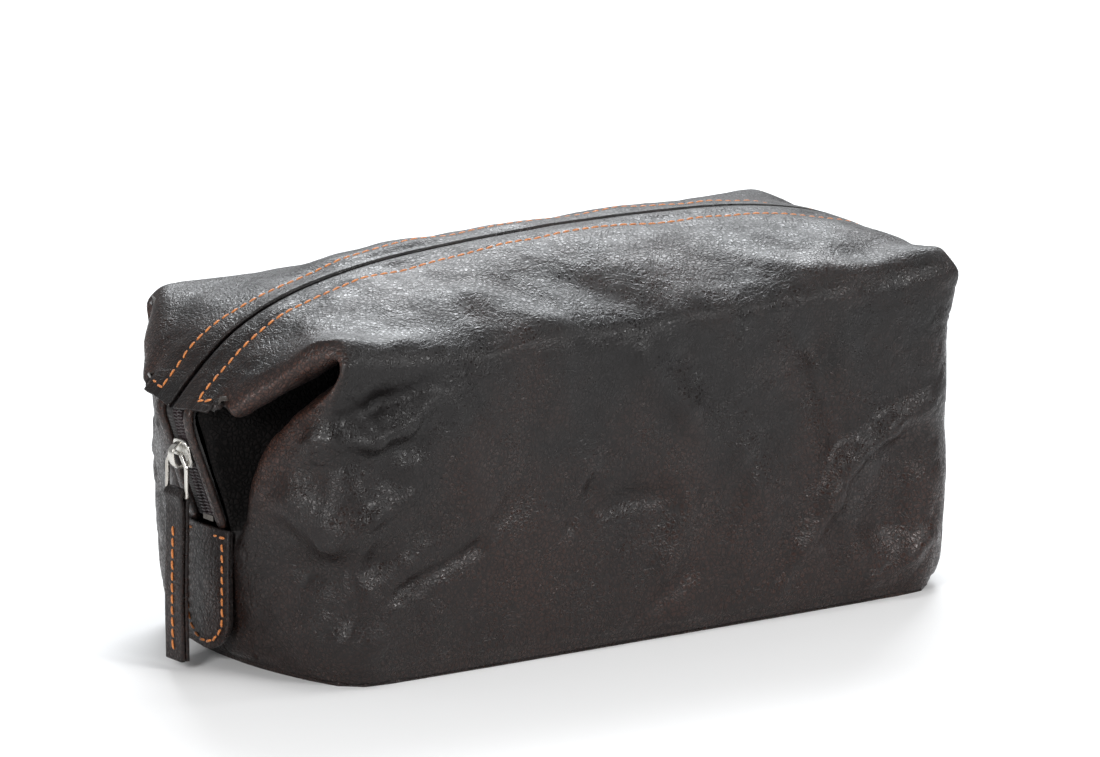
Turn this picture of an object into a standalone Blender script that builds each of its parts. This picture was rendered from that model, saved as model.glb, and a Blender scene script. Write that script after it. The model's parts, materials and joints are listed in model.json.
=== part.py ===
"""Leather shaving kit bag: a boxy body with pinched gusset ends, and a zip over the top and down both ends.

World axes: X along the bag (the slider is on the -X end), Y across it, Z up, origin at the base's middle.
Most shapes are worked out for one quarter of the bag in "quarter" coordinates, in millimetres:
(along, across, up), where along and across are the distances from the bag's middle. `place` turns them into
world metres.
"""

import math

import bmesh
import bpy
from mathutils import Matrix, Vector

MM = 0.001

# --- Driving dimensions, in millimetres -----------------------------------------------------------
HALF_LENGTH = 133.0
HALF_WIDTH = 63.5
CREST_HEIGHT = 142.0
EAR_ALONG, EAR_ACROSS, EAR_RISE = 132.0, 58.0, 4.6
HINGE_ACROSS = 65.0
HINGE_HEIGHT = 112.0
LEATHER = 1.8
LINING = 0.5
GAP = 0.3

SHOULDER_DROP = CREST_HEIGHT - 121.0
BASE_THICKNESS = 2.2
SLIT_HALF = 1.6
STITCH_ACROSS = 11.5
HEM_ACROSS = 21.0
THREAD_RADIUS = 0.4

FLAT_HALF = 6.0
COIL_HEIGHT = 2.2
TAPE_THICKNESS = 0.6
STRIP_THICKNESS = 2.0
# Cross-sections of the bands that follow the zip: (across, lift out of the zip's face).
TOP_COIL = [(0.2, 0), (3.1, 0)]
END_COIL = [(0.8, 0), (3.1, 0)]
TOP_TAPE = [(3.5, 0), (13.0, 0)]
END_TAPE = [(3.5, 0), (10.0, 0)]
STRIP = [(6.2, -0.8), (7.0, 0), (9.4, 0), (10.2, -0.8)]

TAB_HALF_WIDTH = 14.0
TAB_TOP, TAB_BOTTOM = 52.0, 6.0
TAB_FACE = 152.3
TAB_LAYER = 1.4

SLIDER_HEIGHT = 80.0
SLIDER_LENGTH = 11.0
SLIDER_HALF_WIDTH = 5.2
BRIDGE_HALF_WIDTH = 1.7

PULLER_LENGTH = 15.5
PULLER_HALF_WIDTH = 7.0
PULLER_WIRE = 1.5
STRAP_HALF_WIDTH = 5.3
STRAP_THICKNESS = 4.0
STRAP_END_HEIGHT = 3.5

# Height of the top leather beside the zip, from the middle of the bag to the tip that overhangs the end.
CREST = [
    (0, 142), (30, 141.5), (60, 140.2), (86, 138), (105, 134.6), (124, 129),
    (134, 124.8), (143, 119.4), (152, 112), (160, 104.2), (166.5, 97),
]
# Outer face of the zip on the end: from under the top leather, round the tip, and straight down to the tab.
END_ZIP = [
    (153.6, 107.6), (158.6, 102.6), (162.3, 98.2), (163.4, 94.6),
    (162.0, 88.5), (159.1, 80.3), (154.5, 67.3), (149.9, 54.3),
]
# Plan outlines of the body at several heights. Each holds the wall's last points, the vertical corner, the
# fold that runs from the ear to the tab, the pleat behind it, and the edge beside the zip (or, under the tab,
# the end seam).
SECTIONS = [
    (2.5, [
        (112, 62.2), (123, 60.8), (130.5, 54), (135, 41),
        (138, 27), (139, 20), (139.6, 15), (140.2, 8), (140.6, 0.5),
    ]),
    (14, [
        (112, 63.6), (124.5, 62.5), (132, 56), (138, 42),
        (142, 27), (143.5, 20), (144.4, 15), (145.4, 8), (145.9, 0.5),
    ]),
    (34, [
        (112, 64.2), (126, 63.2), (133, 57), (139.5, 42),
        (143.5, 27), (145, 21), (145.8, 16), (146.8, 10), (147.2, 0.5),
    ]),
    (48, [
        (112, 64.4), (126.5, 63.6), (133.5, 57.5), (140.5, 43),
        (145, 26), (145.8, 21), (145.6, 17.5), (146.4, 13), (146.9, 10.9),
    ]),
    (62, [
        (112, 64.4), (126.5, 63.8), (134, 58), (141.5, 43),
        (146, 25.5), (143.6, 20.5), (138.5, 17.5), (145, 13.5), (150.4, 10.9),
    ]),
    (80, [
        (112, 64.4), (127, 63.8), (134, 58.5), (141.2, 46),
        (144.6, 31), (138, 26.5), (123, 23), (139, 15), (156.6, 10.9),
    ]),
    (96, [
        (112, 64.4), (127, 63.8), (133.8, 59.8), (139, 51),
        (140, 45), (130.4, 41), (109, 31), (132, 18), (160.8, 10.9),
    ]),
]
# The top of the same nine columns, under the hinged top panel: (along, across, up).
PANEL_TOP = [
    (112, 64.4, 111.6), (123, 63.2, 111.6), (129, 58.8, 116), (131, 56, 116.4), (130, 53, 116.4),
    (122, 46, 118), (98, 32, 126.6), (128, 19, 120), (151.6, 10.9, 105.5),
]
WALL_ALONG = [0, 40, 80]


# --- Shape helpers --------------------------------------------------------------------------------
def place(point, end=-1, side=-1):
    """World position of a quarter point. end is -1 for the slider's end, side is -1 for the front."""
    along, across, up = point
    return Vector((end * along, side * across, up)) * MM


def smooth_line(points, steps):
    """A Catmull-Rom curve through points, with that many steps between each two."""
    vectors = [Vector(p) for p in points]
    padded = [2 * vectors[0] - vectors[1], *vectors, 2 * vectors[-1] - vectors[-2]]
    line = []
    for a, b, c, d in zip(padded, padded[1:], padded[2:], padded[3:]):
        for k in range(steps):
            t = k / steps
            square = (2 * a - 5 * b + 4 * c - d) * t**2
            cube = (3 * b - a - 3 * c + d) * t**3
            line.append(0.5 * (2 * b + (c - a) * t + square + cube))
    return [*line, vectors[-1]]


def crest_height(along):
    """Height of the top leather beside the zip."""
    for (x0, z0), (x1, z1) in zip(CREST, CREST[1:]):
        if along <= x1:
            return z0 + (z1 - z0) * (along - x0) / (x1 - x0)
    return CREST[-1][1]


def ease(value, low, high):
    """0 below low, 1 above high, smooth between."""
    t = min(1.0, max(0.0, (value - low) / (high - low)))
    return t * t * (3 - 2 * t)


def top_height(along, across):
    """Height of the outer face of the top panel."""
    slump = 1 - 0.67 * ease(along, 60, HALF_LENGTH)
    share = max(0.0, across - FLAT_HALF) / (HALF_WIDTH - FLAT_HALF)
    ear = EAR_RISE * math.exp(-(((along - EAR_ALONG) / 17) ** 2) - ((across - EAR_ACROSS) / 13) ** 2)
    return crest_height(along) - SHOULDER_DROP * slump * share**1.8 + ear


def top_reach(across):
    """How far along the top panel's end edge is: the fold from the ear to the tip, then the tip's hem."""
    if across <= HEM_ACROSS:
        return 166.5 - 3.0 * (across / HEM_ACROSS)
    return 163.5 + (HALF_LENGTH - 163.5) * (across - HEM_ACROSS) / (HALF_WIDTH - 2.5 - HEM_ACROSS)


def outward(path):
    """Unit normals of a path in the (along, up) plane that runs from the middle of the bag to its end."""
    normals = []
    for i in range(len(path)):
        step = Vector(path[min(i + 1, len(path) - 1)]) - Vector(path[max(i - 1, 0)])
        normals.append(Vector((-step.y, step.x)).normalized())
    return normals


def offset_path(path, distance):
    """The path moved that far outward."""
    return [Vector(p) + n * distance for p, n in zip(path, outward(path))]


def offset_grid(grid, distance):
    """A grid of points moved along its normals. The sign of distance follows the grid's own winding."""
    moved = []
    for i, row in enumerate(grid):
        moved.append([])
        for j, point in enumerate(row):
            down = grid[min(i + 1, len(grid) - 1)][j] - grid[max(i - 1, 0)][j]
            along = row[min(j + 1, len(row) - 1)] - row[max(j - 1, 0)]
            moved[-1].append(point + down.cross(along).normalized() * distance * MM)
    return moved


# --- Object helpers -------------------------------------------------------------------------------
def material(name, colour, roughness, metallic=0.0):
    made = bpy.data.materials.new(name)
    made.use_nodes = True
    shader = made.node_tree.nodes["Principled BSDF"]
    shader.inputs["Base Color"].default_value = (*colour, 1.0)
    shader.inputs["Roughness"].default_value = roughness
    shader.inputs["Metallic"].default_value = metallic
    return made


def add(name, data, finish):
    made = bpy.data.objects.new(name, data)
    data.materials.append(finish)
    bag.objects.link(made)
    return made


def sheet(name, grid, thickness, finish):
    """A sheet of the given thickness whose outer face is the grid: equally long rows of world points."""
    mesh = bpy.data.meshes.new(name)
    build = bmesh.new()
    rows = [[build.verts.new(point) for point in row] for row in grid]
    for lower, upper in zip(rows, rows[1:]):
        for a, b, c, d in zip(lower, lower[1:], upper[1:], upper):
            build.faces.new((a, b, c, d))
    build.to_mesh(mesh)
    build.free()
    mesh.shade_smooth()
    made = add(name, mesh, finish)
    shell = made.modifiers.new("Thickness", "SOLIDIFY")
    shell.thickness = thickness * MM
    shell.offset = -1
    return made


def ribbon(name, path, bands, thickness, side, finish):
    """A band along a path of (world x, up) millimetres. bands is its section: (across, lift off the path)."""
    grid = []
    for across, lift in bands:
        grid.append([Vector((p.x, side * across, p.y)) * MM for p in offset_path(path, lift)])
    if side < 0:
        grid.reverse()
    return sheet(name, grid, thickness, finish)


def plate(name, outlines, thickness, finish, edge=0.0):
    """A flat plate in the object's own XY plane, from closed outlines in millimetres. The second is a hole."""
    data = bpy.data.curves.new(name, "CURVE")
    data.dimensions = "2D"
    data.fill_mode = "BOTH"
    data.extrude = (thickness / 2 - edge) * MM
    data.bevel_depth = edge * MM
    data.offset = -edge * MM
    data.bevel_resolution = 1
    for outline in outlines:
        spline = data.splines.new("POLY")
        spline.points.add(len(outline) - 1)
        for point, (x, y) in zip(spline.points, outline):
            point.co = (x * MM, y * MM, 0, 1)
        spline.use_cyclic_u = True
    return add(name, data, finish)


def thread(name, points, finish):
    """A sewing thread along world points."""
    data = bpy.data.curves.new(name, "CURVE")
    data.dimensions = "3D"
    data.bevel_depth = THREAD_RADIUS * MM
    data.bevel_resolution = 1
    data.use_fill_caps = True
    spline = data.splines.new("POLY")
    spline.points.add(len(points) - 1)
    for point, co in zip(spline.points, points):
        point.co = (*co, 1)
    return add(name, data, finish)


def arc(centre, radius, start, stop, steps):
    """Points of an arc, with angles in degrees."""
    points = []
    for k in range(steps + 1):
        angle = math.radians(start + (stop - start) * k / steps)
        points.append((centre[0] + radius * math.cos(angle), centre[1] + radius * math.sin(angle)))
    return points


def stand(made, origin, across, upward):
    """Moves a plate to an origin in millimetres and turns its own X and Y to the two world directions."""
    x, y = Vector(across).normalized(), Vector(upward).normalized()
    made.rotation_euler = Matrix((x, y, x.cross(y))).transposed().to_euler()
    made.location = Vector(origin) * MM


# --- Body -----------------------------------------------------------------------------------------
def body_row(columns, up):
    """One quarter's row of points, from the middle of the wall to the end."""
    wall = [(x, HINGE_ACROSS - 0.6 * (x / columns[0][0]) ** 2, up) for x in WALL_ALONG]
    return wall + [(x, y, up) for x, y in columns]


def body_grid(side):
    """World points of the front or back wall with its half of both ends, from the base up to the hinge."""
    quarter = [body_row(columns, up) for up, columns in SECTIONS]
    wall_top = [(x, HINGE_ACROSS - 0.6 * (x / 112) ** 2, PANEL_TOP[0][2]) for x in WALL_ALONG]
    quarter.append(wall_top + PANEL_TOP)
    grid = []
    for row in quarter:
        near = [place(p, -1, side) for p in reversed(row)]
        far = [place(p, 1, side) for p in row[1:]]
        grid.append(near + far)
    if side > 0:
        grid = [list(reversed(row)) for row in grid]
    return grid


def lining_of(grid):
    """The grid moved inside the leather, clear of the base lining."""
    inner = offset_grid(grid, LEATHER + 1.0)
    inner[0] = [Vector((p.x, p.y, (BASE_THICKNESS + 2.0) * MM)) for p in inner[0]]
    return inner


def base_outline(inset):
    """The body's lowest outline, drawn in by inset."""
    wall = [(x, SECTIONS[0][1][0][1] + 0.6) for x in (0, 60)]
    quarter = wall + SECTIONS[0][1][:-1]
    quarter = [(x * (1 - inset / HALF_LENGTH), y * (1 - inset / HALF_WIDTH)) for x, y in quarter]
    half = quarter + [(x, -y) for x, y in reversed(quarter)]
    return half + [(-x, y) for x, y in reversed(half) if x > 0]


def build_body():
    for name, side in (("front", -1), ("back", 1)):
        grid = body_grid(side)
        sheet(f"{name}_panel", grid, LEATHER, leather)
        sheet(f"{name}_lining", lining_of(grid), LINING, lining)
    base = plate("base_panel", [base_outline(1.0)], BASE_THICKNESS, leather)
    base.location.z = BASE_THICKNESS / 2 * MM
    floor = plate("base_lining", [base_outline(5.0)], LINING, lining)
    floor.location.z = (BASE_THICKNESS + GAP + LINING / 2) * MM


# --- Hinged top panels ----------------------------------------------------------------------------
TOP_ACROSS = [63.2, 59, 50, 36, HEM_ACROSS, 11, SLIT_HALF]
TOP_SHARE = [0, 0.24, 0.46, 0.62, 0.76, 0.86, 0.94, 1.0]


def top_quarter():
    """Rows of one quarter of a top panel, from the hinge over the shoulder to the zip."""
    rows = [[(share * (HALF_LENGTH - 5), HINGE_ACROSS - 0.3, HINGE_HEIGHT + 0.4) for share in TOP_SHARE]]
    for across in TOP_ACROSS:
        reach = top_reach(across)
        rows.append([(share * reach, across, top_height(share * reach, across)) for share in TOP_SHARE])
    return rows


def top_grid(side):
    grid = []
    for row in top_quarter():
        grid.append([place(p, -1, side) for p in reversed(row)] + [place(p, 1, side) for p in row[1:]])
    if side > 0:
        grid = [list(reversed(row)) for row in grid]
    return grid


def seam_points(side):
    """The stitched line beside the zip, which turns outward along the hem at both tips."""
    hem = [(top_reach(y) - 3.0, y) for y in (HEM_ACROSS - 1, 16.5)]
    run = [(163.4, STITCH_ACROSS), (160, STITCH_ACROSS)]
    run += [(x, STITCH_ACROSS) for x in range(154, 0, -11)]
    half = [(x, y, top_height(x, y) + THREAD_RADIUS + GAP) for x, y in hem + run]
    return [place(p, -1, side) for p in half] + [place(p, 1, side) for p in reversed(half)]


def top_zip_path(depth):
    """World (x, up) of a line at that depth under the top leather's face, from the -X end to the +X end."""
    line = smooth_line(offset_path([p for p in CREST if p[0] < 150], -depth), 2)
    return [Vector((-p.x, p.y)) for p in reversed(line)] + line[1:]


def build_tops():
    for name, side in (("front", -1), ("back", 1)):
        grid = top_grid(side)
        sheet(f"{name}_top_panel", grid, LEATHER, leather)
        inner = offset_grid([row[2:-2] for row in grid[2:-1]], LEATHER + 2.1)
        sheet(f"{name}_top_lining", inner, LINING, lining)
        thread(f"{name}_zip_stitching", seam_points(side), orange)
        ribbon(f"{name}_zip_tape", top_zip_path(2.95), TOP_TAPE, TAPE_THICKNESS, side, tape)
        ribbon(f"{name}_zip_coil", top_zip_path(2.6), TOP_COIL, COIL_HEIGHT, side, nylon)


# --- Zip on the ends ------------------------------------------------------------------------------
def end_path(end, depth, start=0, stop=None):
    """World (x, up) of a line at that depth behind the face of the zip on one end."""
    line = offset_path(smooth_line(END_ZIP, 2), -depth)[start:stop]
    return line if end > 0 else [Vector((-p.x, p.y)) for p in reversed(line)]


def tab_outline(inset=0.0):
    """Straight top edge, straight sides and a half-round foot."""
    half = TAB_HALF_WIDTH - inset
    foot = arc((0, TAB_BOTTOM + TAB_HALF_WIDTH), half, 0, -180, 14)
    return [(-half, TAB_TOP - inset), (half, TAB_TOP - inset), *foot]


def build_tab(name, end):
    face = TAB_FACE
    backing = plate(f"{name}_tab_backing", [tab_outline()], TAB_LAYER, leather, 0.25)
    stand(backing, (end * (face - 1.5 * TAB_LAYER - GAP), 0, 0), (0, end, 0), (0, 0, 1))
    front = plate(f"{name}_tab", [tab_outline()], TAB_LAYER, leather, 0.4)
    stand(front, (end * (face - TAB_LAYER / 2), 0, 0), (0, end, 0), (0, 0, 1))
    seam = tab_outline(3.0)
    seam.append((seam[0][0], seam[0][1] - 2.0))
    along = end * (face + THREAD_RADIUS + GAP)
    thread(f"{name}_tab_stitching", [Vector((along, y, z)) * MM for y, z in seam], orange)


def build_end_zip(name, end):
    stop_height = END_ZIP[-1][1]
    for label, side in (("front", -1), ("back", 1)):
        ribbon(f"{name}_zip_strip_{label}", end_path(end, -1.6, 6), STRIP, STRIP_THICKNESS, side, leather)
        ribbon(f"{name}_zip_tape_{label}", end_path(end, 1.0), END_TAPE, TAPE_THICKNESS, side, tape)
        ribbon(f"{name}_zip_coil_{label}", end_path(end, 0, 0, -1), END_COIL, COIL_HEIGHT, side, nylon)
    stop = plate(f"{name}_zip_stop", [[(-3.2, -1), (3.2, -1), (3.2, 1), (-3.2, 1)]], 1.8, metal)
    stand(stop, (end * (END_ZIP[-1][0] - 1.0), 0, stop_height), (0, end, 0), (0, 0, 1))


def zip_frame():
    """The slider's origin on the zip's face, the way up the zip and the way out of it, all (along, up)."""
    low, high = Vector(END_ZIP[-1]), Vector(END_ZIP[4])
    up = (high - low).normalized()
    origin = low + up * (SLIDER_HEIGHT - low.y) / up.y
    return origin, up, Vector((up.y, -up.x))


def zip_point(out, up):
    """(along, up) of a point on the slider, given its distance out of the zip's face and up the zip."""
    origin, climb, away = zip_frame()
    return origin + away * out + climb * up


def build_slider():
    origin, climb, away = zip_frame()
    top_out, top_in, low_out, low_in, web = 1.9, 0.4, -2.9, -4.3, 0.5
    wide = SLIDER_HALF_WIDTH
    profile = [
        (-wide, top_in), (-wide, top_out), (wide, top_out), (wide, top_in), (web, top_in), (web, low_out),
        (wide, low_out), (wide, low_in), (-wide, low_in), (-wide, low_out), (-web, low_out), (-web, top_in),
    ]
    slider = plate("slider_body", [profile], SLIDER_LENGTH, metal, 0.35)
    stand(slider, (-origin.x, 0, origin.y), (0, 1, 0), (-away.x, 0, away.y))
    foot, span, low, high, wall = 4.4, 3.2, top_out + GAP, 6.6, 1.2
    arch = [
        (-foot, low), (-foot, high - 1), (-foot + 1, high), (foot - 1, high), (foot, high - 1),
        (foot, low), (span, low), (span, high - wall), (-span, high - wall), (-span, low),
    ]
    bridge = plate("slider_bridge", [arch], 2 * BRIDGE_HALF_WIDTH, metal, 0.3)
    stand(bridge, (-origin.x, 0, origin.y), (-climb.x, 0, climb.y), (-away.x, 0, away.y))


def puller_axis():
    """(along, up) of the puller's hinge, in the hole under the bridge."""
    return zip_point(3.85, 1.6)


def build_puller():
    hinge = puller_axis()
    wire = PULLER_WIRE / 2
    wide, low = PULLER_HALF_WIDTH, -PULLER_LENGTH
    outer = [(-3.5, wire), (3.5, wire), (wide, -4.5), (wide, low - wire), (-wide, low - wire), (-wide, -4.5)]
    gap = wide - 1.4
    inner = [(-2.9, -wire), (2.9, -wire), (gap, -4.9), (gap, low + wire), (-gap, low + wire), (-gap, -4.9)]
    puller = plate("puller", [outer, inner], PULLER_WIRE, metal, 0.35)
    stand(puller, (-hinge.x, 0, hinge.y), (0, -1, 0), (0, 0, 1))
    pin = hinge - Vector((0, PULLER_LENGTH))
    loop, eye, half = 2.7, 1.45, STRAP_THICKNESS / 2
    shoulder = math.degrees(math.asin(half / loop))
    foot = STRAP_END_HEIGHT - pin.y
    edge = [*arc((0, 0), loop, shoulder - 90, 270 - shoulder, 14), (-half, foot), (half, foot)]
    strap = plate("pull_strap", [edge, arc((0, 0), eye, 0, 330, 11)], 2 * STRAP_HALF_WIDTH, leather, 0.5)
    stand(strap, (-pin.x, 0, pin.y), (1, 0, 0), (0, 0, 1))
    along = -pin.x - half - GAP - THREAD_RADIUS
    heights = [STRAP_END_HEIGHT + 3 + k * (pin.y - 10 - STRAP_END_HEIGHT) / 6 for k in range(7)]
    thread("strap_stitching", [Vector((along, 0, z)) * MM for z in heights], orange)


def carry(parent, names):
    """Parents the named objects, leaving each where it stands."""
    bpy.context.view_layer.update()
    for name in names:
        child = bpy.data.objects[name]
        child.parent = parent
        child.matrix_parent_inverse = parent.matrix_world.inverted()


def build_hinges():
    """An empty on the shoulder line of each side carries everything that opens with the top panel."""
    for name, side in (("front", -1), ("back", 1)):
        hinge = bpy.data.objects.new(f"{name}_hinge", None)
        hinge.location = Vector((0, side * HINGE_ACROSS, HINGE_HEIGHT)) * MM
        bag.objects.link(hinge)
        opening = ("top_panel", "top_lining", "zip_stitching", "zip_tape", "zip_coil")
        carry(hinge, [f"{name}_{part}" for part in opening])


for old in list(bpy.data.objects):
    bpy.data.objects.remove(old)
bag = bpy.data.collections.new("shaving_kit_bag")
bpy.context.scene.collection.children.link(bag)

leather = material("brown_leather", (0.035, 0.024, 0.020), 0.42)
lining = material("lining_cloth", (0.06, 0.05, 0.045), 0.9)
tape = material("zip_tape", (0.012, 0.010, 0.010), 0.85)
nylon = material("zip_coil", (0.020, 0.014, 0.014), 0.35)
metal = material("nickel", (0.62, 0.60, 0.57), 0.22, 1.0)
orange = material("orange_thread", (0.60, 0.22, 0.06), 0.6)

build_body()
build_tops()
for label, direction in (("near", -1), ("far", 1)):
    build_tab(label, direction)
    build_end_zip(label, direction)
build_slider()
build_puller()
build_hinges()
carry(bpy.data.objects["pull_strap"], ["strap_stitching"])
carry(bpy.data.objects["puller"], ["pull_strap"])
carry(bpy.data.objects["slider_body"], ["slider_bridge", "puller"])
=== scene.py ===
"""The looks of the leather shaving kit bag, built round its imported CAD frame.

The frame's axes are kept: X along the bag (the slider is at -X), Y across it (-Y is the front),
Z up. Sizes are in millimetres until a mesh is made. The leather is worked out for one quarter of
the bag as (along, across, up), the distances from its middle, and mirrored from there.
"""

import json
import math
import random

import bmesh
import bpy
import numpy as np
from mathutils import Matrix, Vector, noise


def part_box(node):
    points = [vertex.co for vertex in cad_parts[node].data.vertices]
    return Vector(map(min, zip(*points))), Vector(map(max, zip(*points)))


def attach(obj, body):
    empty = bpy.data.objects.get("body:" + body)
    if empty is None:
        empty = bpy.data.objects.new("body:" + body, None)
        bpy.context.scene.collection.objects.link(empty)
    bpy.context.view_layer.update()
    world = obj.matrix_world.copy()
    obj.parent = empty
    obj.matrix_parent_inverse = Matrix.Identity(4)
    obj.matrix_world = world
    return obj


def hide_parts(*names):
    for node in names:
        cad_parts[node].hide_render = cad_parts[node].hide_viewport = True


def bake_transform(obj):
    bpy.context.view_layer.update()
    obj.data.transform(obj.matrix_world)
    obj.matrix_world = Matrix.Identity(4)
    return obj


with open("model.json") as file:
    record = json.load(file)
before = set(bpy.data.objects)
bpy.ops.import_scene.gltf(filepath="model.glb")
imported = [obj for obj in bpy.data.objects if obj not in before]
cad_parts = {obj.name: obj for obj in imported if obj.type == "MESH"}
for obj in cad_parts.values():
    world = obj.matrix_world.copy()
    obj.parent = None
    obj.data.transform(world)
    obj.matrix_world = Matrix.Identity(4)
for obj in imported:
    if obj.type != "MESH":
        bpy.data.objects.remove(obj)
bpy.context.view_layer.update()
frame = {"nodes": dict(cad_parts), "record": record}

MM = 0.001


# --- The leather's shape ----------------------------------------------------------------------
# Each row is one line of leather from the middle of the bag to its end. A row's points are: four
# along the wall, three round the corner, the fold, inside the fold, the bottom of the pleat, on the
# way back, and the edge beside the zip.
WALL_ROWS = [
    [
        (0, 61.8, 0.6), (40, 61.8, 0.6), (80, 61.6, 0.6), (108, 61.0, 0.6), (122, 59.5, 0.7),
        (129, 53, 0.8), (133.5, 40, 0.8), (136.3, 25, 0.9), (137.2, 18.5, 0.9), (137.9, 13, 1),
        (138.5, 7, 1), (138.9, 0.4, 1),
    ],
    [
        (0, 63.8, 4.5), (40, 63.8, 4.5), (80, 63.6, 4.5), (108, 62.8, 4.5), (123.6, 61.2, 4.5),
        (131, 54.4, 4.5), (136.2, 41, 4.5), (139.8, 25, 4.5), (140.8, 18.5, 4.5), (141.6, 13, 4.5),
        (142.2, 7, 4.5), (142.6, 0.4, 4.5),
    ],
    [
        (0, 64.7, 15), (40, 64.7, 15), (80, 64.4, 15), (108, 63.9, 15), (124.8, 62.6, 15),
        (132.4, 56, 15), (138.8, 42, 15), (143, 25, 15), (144.2, 18.5, 15), (145, 13, 15),
        (145.7, 7, 15), (146.1, 0.4, 15),
    ],
    [
        (0, 65, 34), (40, 65, 34), (80, 64.8, 34), (108, 64.4, 34), (126, 63.2, 34),
        (133.4, 57, 34), (140.4, 42, 34), (145, 24, 34), (146.2, 18, 34), (146.8, 13, 34),
        (147.2, 7, 34), (147.4, 0.4, 34),
    ],
    [
        (0, 65, 48), (40, 65, 48), (80, 64.8, 48), (108, 64.5, 48), (126.6, 63.5, 48),
        (134, 57.6, 48), (141.4, 42, 48), (147, 22, 48), (147.4, 17.6, 48), (146.2, 14.4, 48),
        (146.8, 12.4, 48), (147.2, 10.9, 48),
    ],
    [
        (0, 65, 61), (40, 65, 61), (80, 64.8, 61), (108, 64.6, 61), (127, 63.7, 61),
        (134.4, 58, 61), (142, 42, 61), (147.2, 23, 61), (144, 18.6, 61), (134, 16.4, 61),
        (142, 12.6, 61), (149.6, 10.9, 61),
    ],
    [
        (0, 65, 74), (40, 65, 74), (80, 64.8, 74), (108, 64.6, 74), (127.2, 63.8, 74),
        (134.8, 58.4, 74), (142, 43.6, 74), (146.4, 26, 74), (141, 21, 74), (124, 19, 74),
        (140, 13.4, 74), (154.2, 10.9, 74),
    ],
    [
        (0, 65, 86), (40, 65, 86), (80, 64.8, 86), (108, 64.6, 86), (127.2, 64, 86),
        (134.8, 59, 86), (141.6, 46, 86), (144, 30, 86.5), (136, 26, 87), (114, 24, 88),
        (137, 15, 88), (158.2, 10.9, 87),
    ],
    [
        (0, 65, 96), (40, 65, 96), (80, 64.8, 96), (108, 64.7, 96), (127, 64.2, 96),
        (134.4, 60, 95.5), (139.6, 50.5, 94.5), (141.6, 38.5, 95.2), (132, 34, 97.2),
        (106, 29, 99), (133, 17, 98), (160.6, 10.9, 94.5),
    ],
    [
        (0, 65, 105), (40, 65, 105), (80, 64.8, 105), (108, 64.7, 105.4), (126.4, 64.4, 105.6),
        (133.6, 61.8, 104.6), (137.4, 56, 102.6), (139, 48.5, 103), (128, 43, 107), (101, 32, 110),
        (130, 19, 106), (160.2, 10.9, 99),
    ],
    [
        (0, 64.9, 112), (40, 64.9, 112), (80, 64.7, 112.2), (108, 64.7, 112.8),
        (125.6, 64.9, 113.2), (132.2, 63.9, 112.6), (135.6, 61.2, 110.8), (136.8, 57.6, 110.4),
        (126, 49.5, 112), (98, 33, 118), (128, 20, 112), (157, 10.9, 103),
    ],
]
EAR_ROW = [
    (0, 63.9, 118.4), (40, 63.9, 118), (80, 64, 117.4), (108, 64.4, 118),
    (123.6, 65.2, 119.6), (130.4, 65.4, 119.8), (134.2, 64.2, 118.8), (135.2, 61.6, 117.0),
    (124, 53, 117.0), (97, 34, 122), (127, 21, 116), (154, 10.9, 105.5),
]
# A line of the top's distance from the zip, and how it goes on under the ridge between the ear and
# the tip: inside the fold, the bottom of the pleat, on the way back, and the edge.
RIDGE_ROWS = [
    (59.0, [(129.5, 56.5, 119.4), (101, 37, 123), (127, 22, 117.4), (153, 12, 106.3)]),
    (50.0, [(136.8, 47.4, 112.6), (113, 33, 118), (131, 22, 114.6), (152, 13, 105.0)]),
    (38.0, [(146.8, 35.8, 103.2), (131, 28.5, 111), (140, 22.5, 108), (152, 15, 103.0)]),
    (28.0, [(154.6, 26.2, 97.0), (147, 22.5, 100.6), (149, 20, 101.6), (153, 17, 101.0)]),
]
# The front leather's ridge is swollen by this much at the slider's end, where it is a fat roll.
NEAR_FRONT_SWELL = 6.0
HEM_ROWS = [20.5, 15.0, 8.0, 1.6]
# (along, up) of the arch's middle line, from mid-bag to the tip.
CREST = [
    (0, 142), (30, 141.5), (60, 140.2), (86, 138), (105, 134.6), (124, 129),
    (134, 124.8), (143, 119.4), (152, 112), (160, 104.2), (166.5, 97),
]
HALF_LENGTH, HALF_WIDTH = 133.0, 63.5
HEM_ACROSS, STITCH_ACROSS = 20.5, 11.5
# The top rises to a soft corner, an ear, over each pleat.
EAR_ALONG, EAR_ACROSS, EAR_RISE = 132, 58, 4.6
# (along, up) of the zip's face on an end, from the tip down to the tab.
END_ZIP = [
    (153.6, 107.6), (158.6, 102.6), (162.3, 98.2), (163.4, 94.6),
    (162.0, 88.5), (159.1, 80.3), (154.5, 67.3), (149.9, 54.3),
]
# How finely each gap between two points of a row, and between two rows, is cut.
COLUMN_STEPS = [24, 24, 18, 12, 9, 10, 9, 9, 8, 6, 6]
WALL_STEPS = [3, 6, 10, 8, 8, 8, 8, 7, 7, 6, 5]
TOP_STEPS = [5, 7, 8, 8, 8, 6, 6, 6]


def crest_height(along):
    return float(np.interp(abs(along), [x for x, _ in CREST], [z for _, z in CREST]))


def ease(value, low, high):
    t = np.clip((value - low) / (high - low), 0.0, 1.0)
    return t * t * (3 - 2 * t)


def top_height(along, across, swell=0.0):
    slump = 1 - 0.67 * float(ease(abs(along), 60, HALF_LENGTH))
    share = max(0.0, across - 6.0) / (HALF_WIDTH - 6.0)
    ear_distance = ((abs(along) - EAR_ALONG) / 17) ** 2 + ((across - EAR_ACROSS) / 13) ** 2
    ear = EAR_RISE * math.exp(-ear_distance)
    roll = swell * math.exp(-(((abs(along) - 139) / 15) ** 2) - ((across - 50) / 16) ** 2)
    return crest_height(along) - 21.0 * slump * share**1.8 + ear + roll


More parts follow.
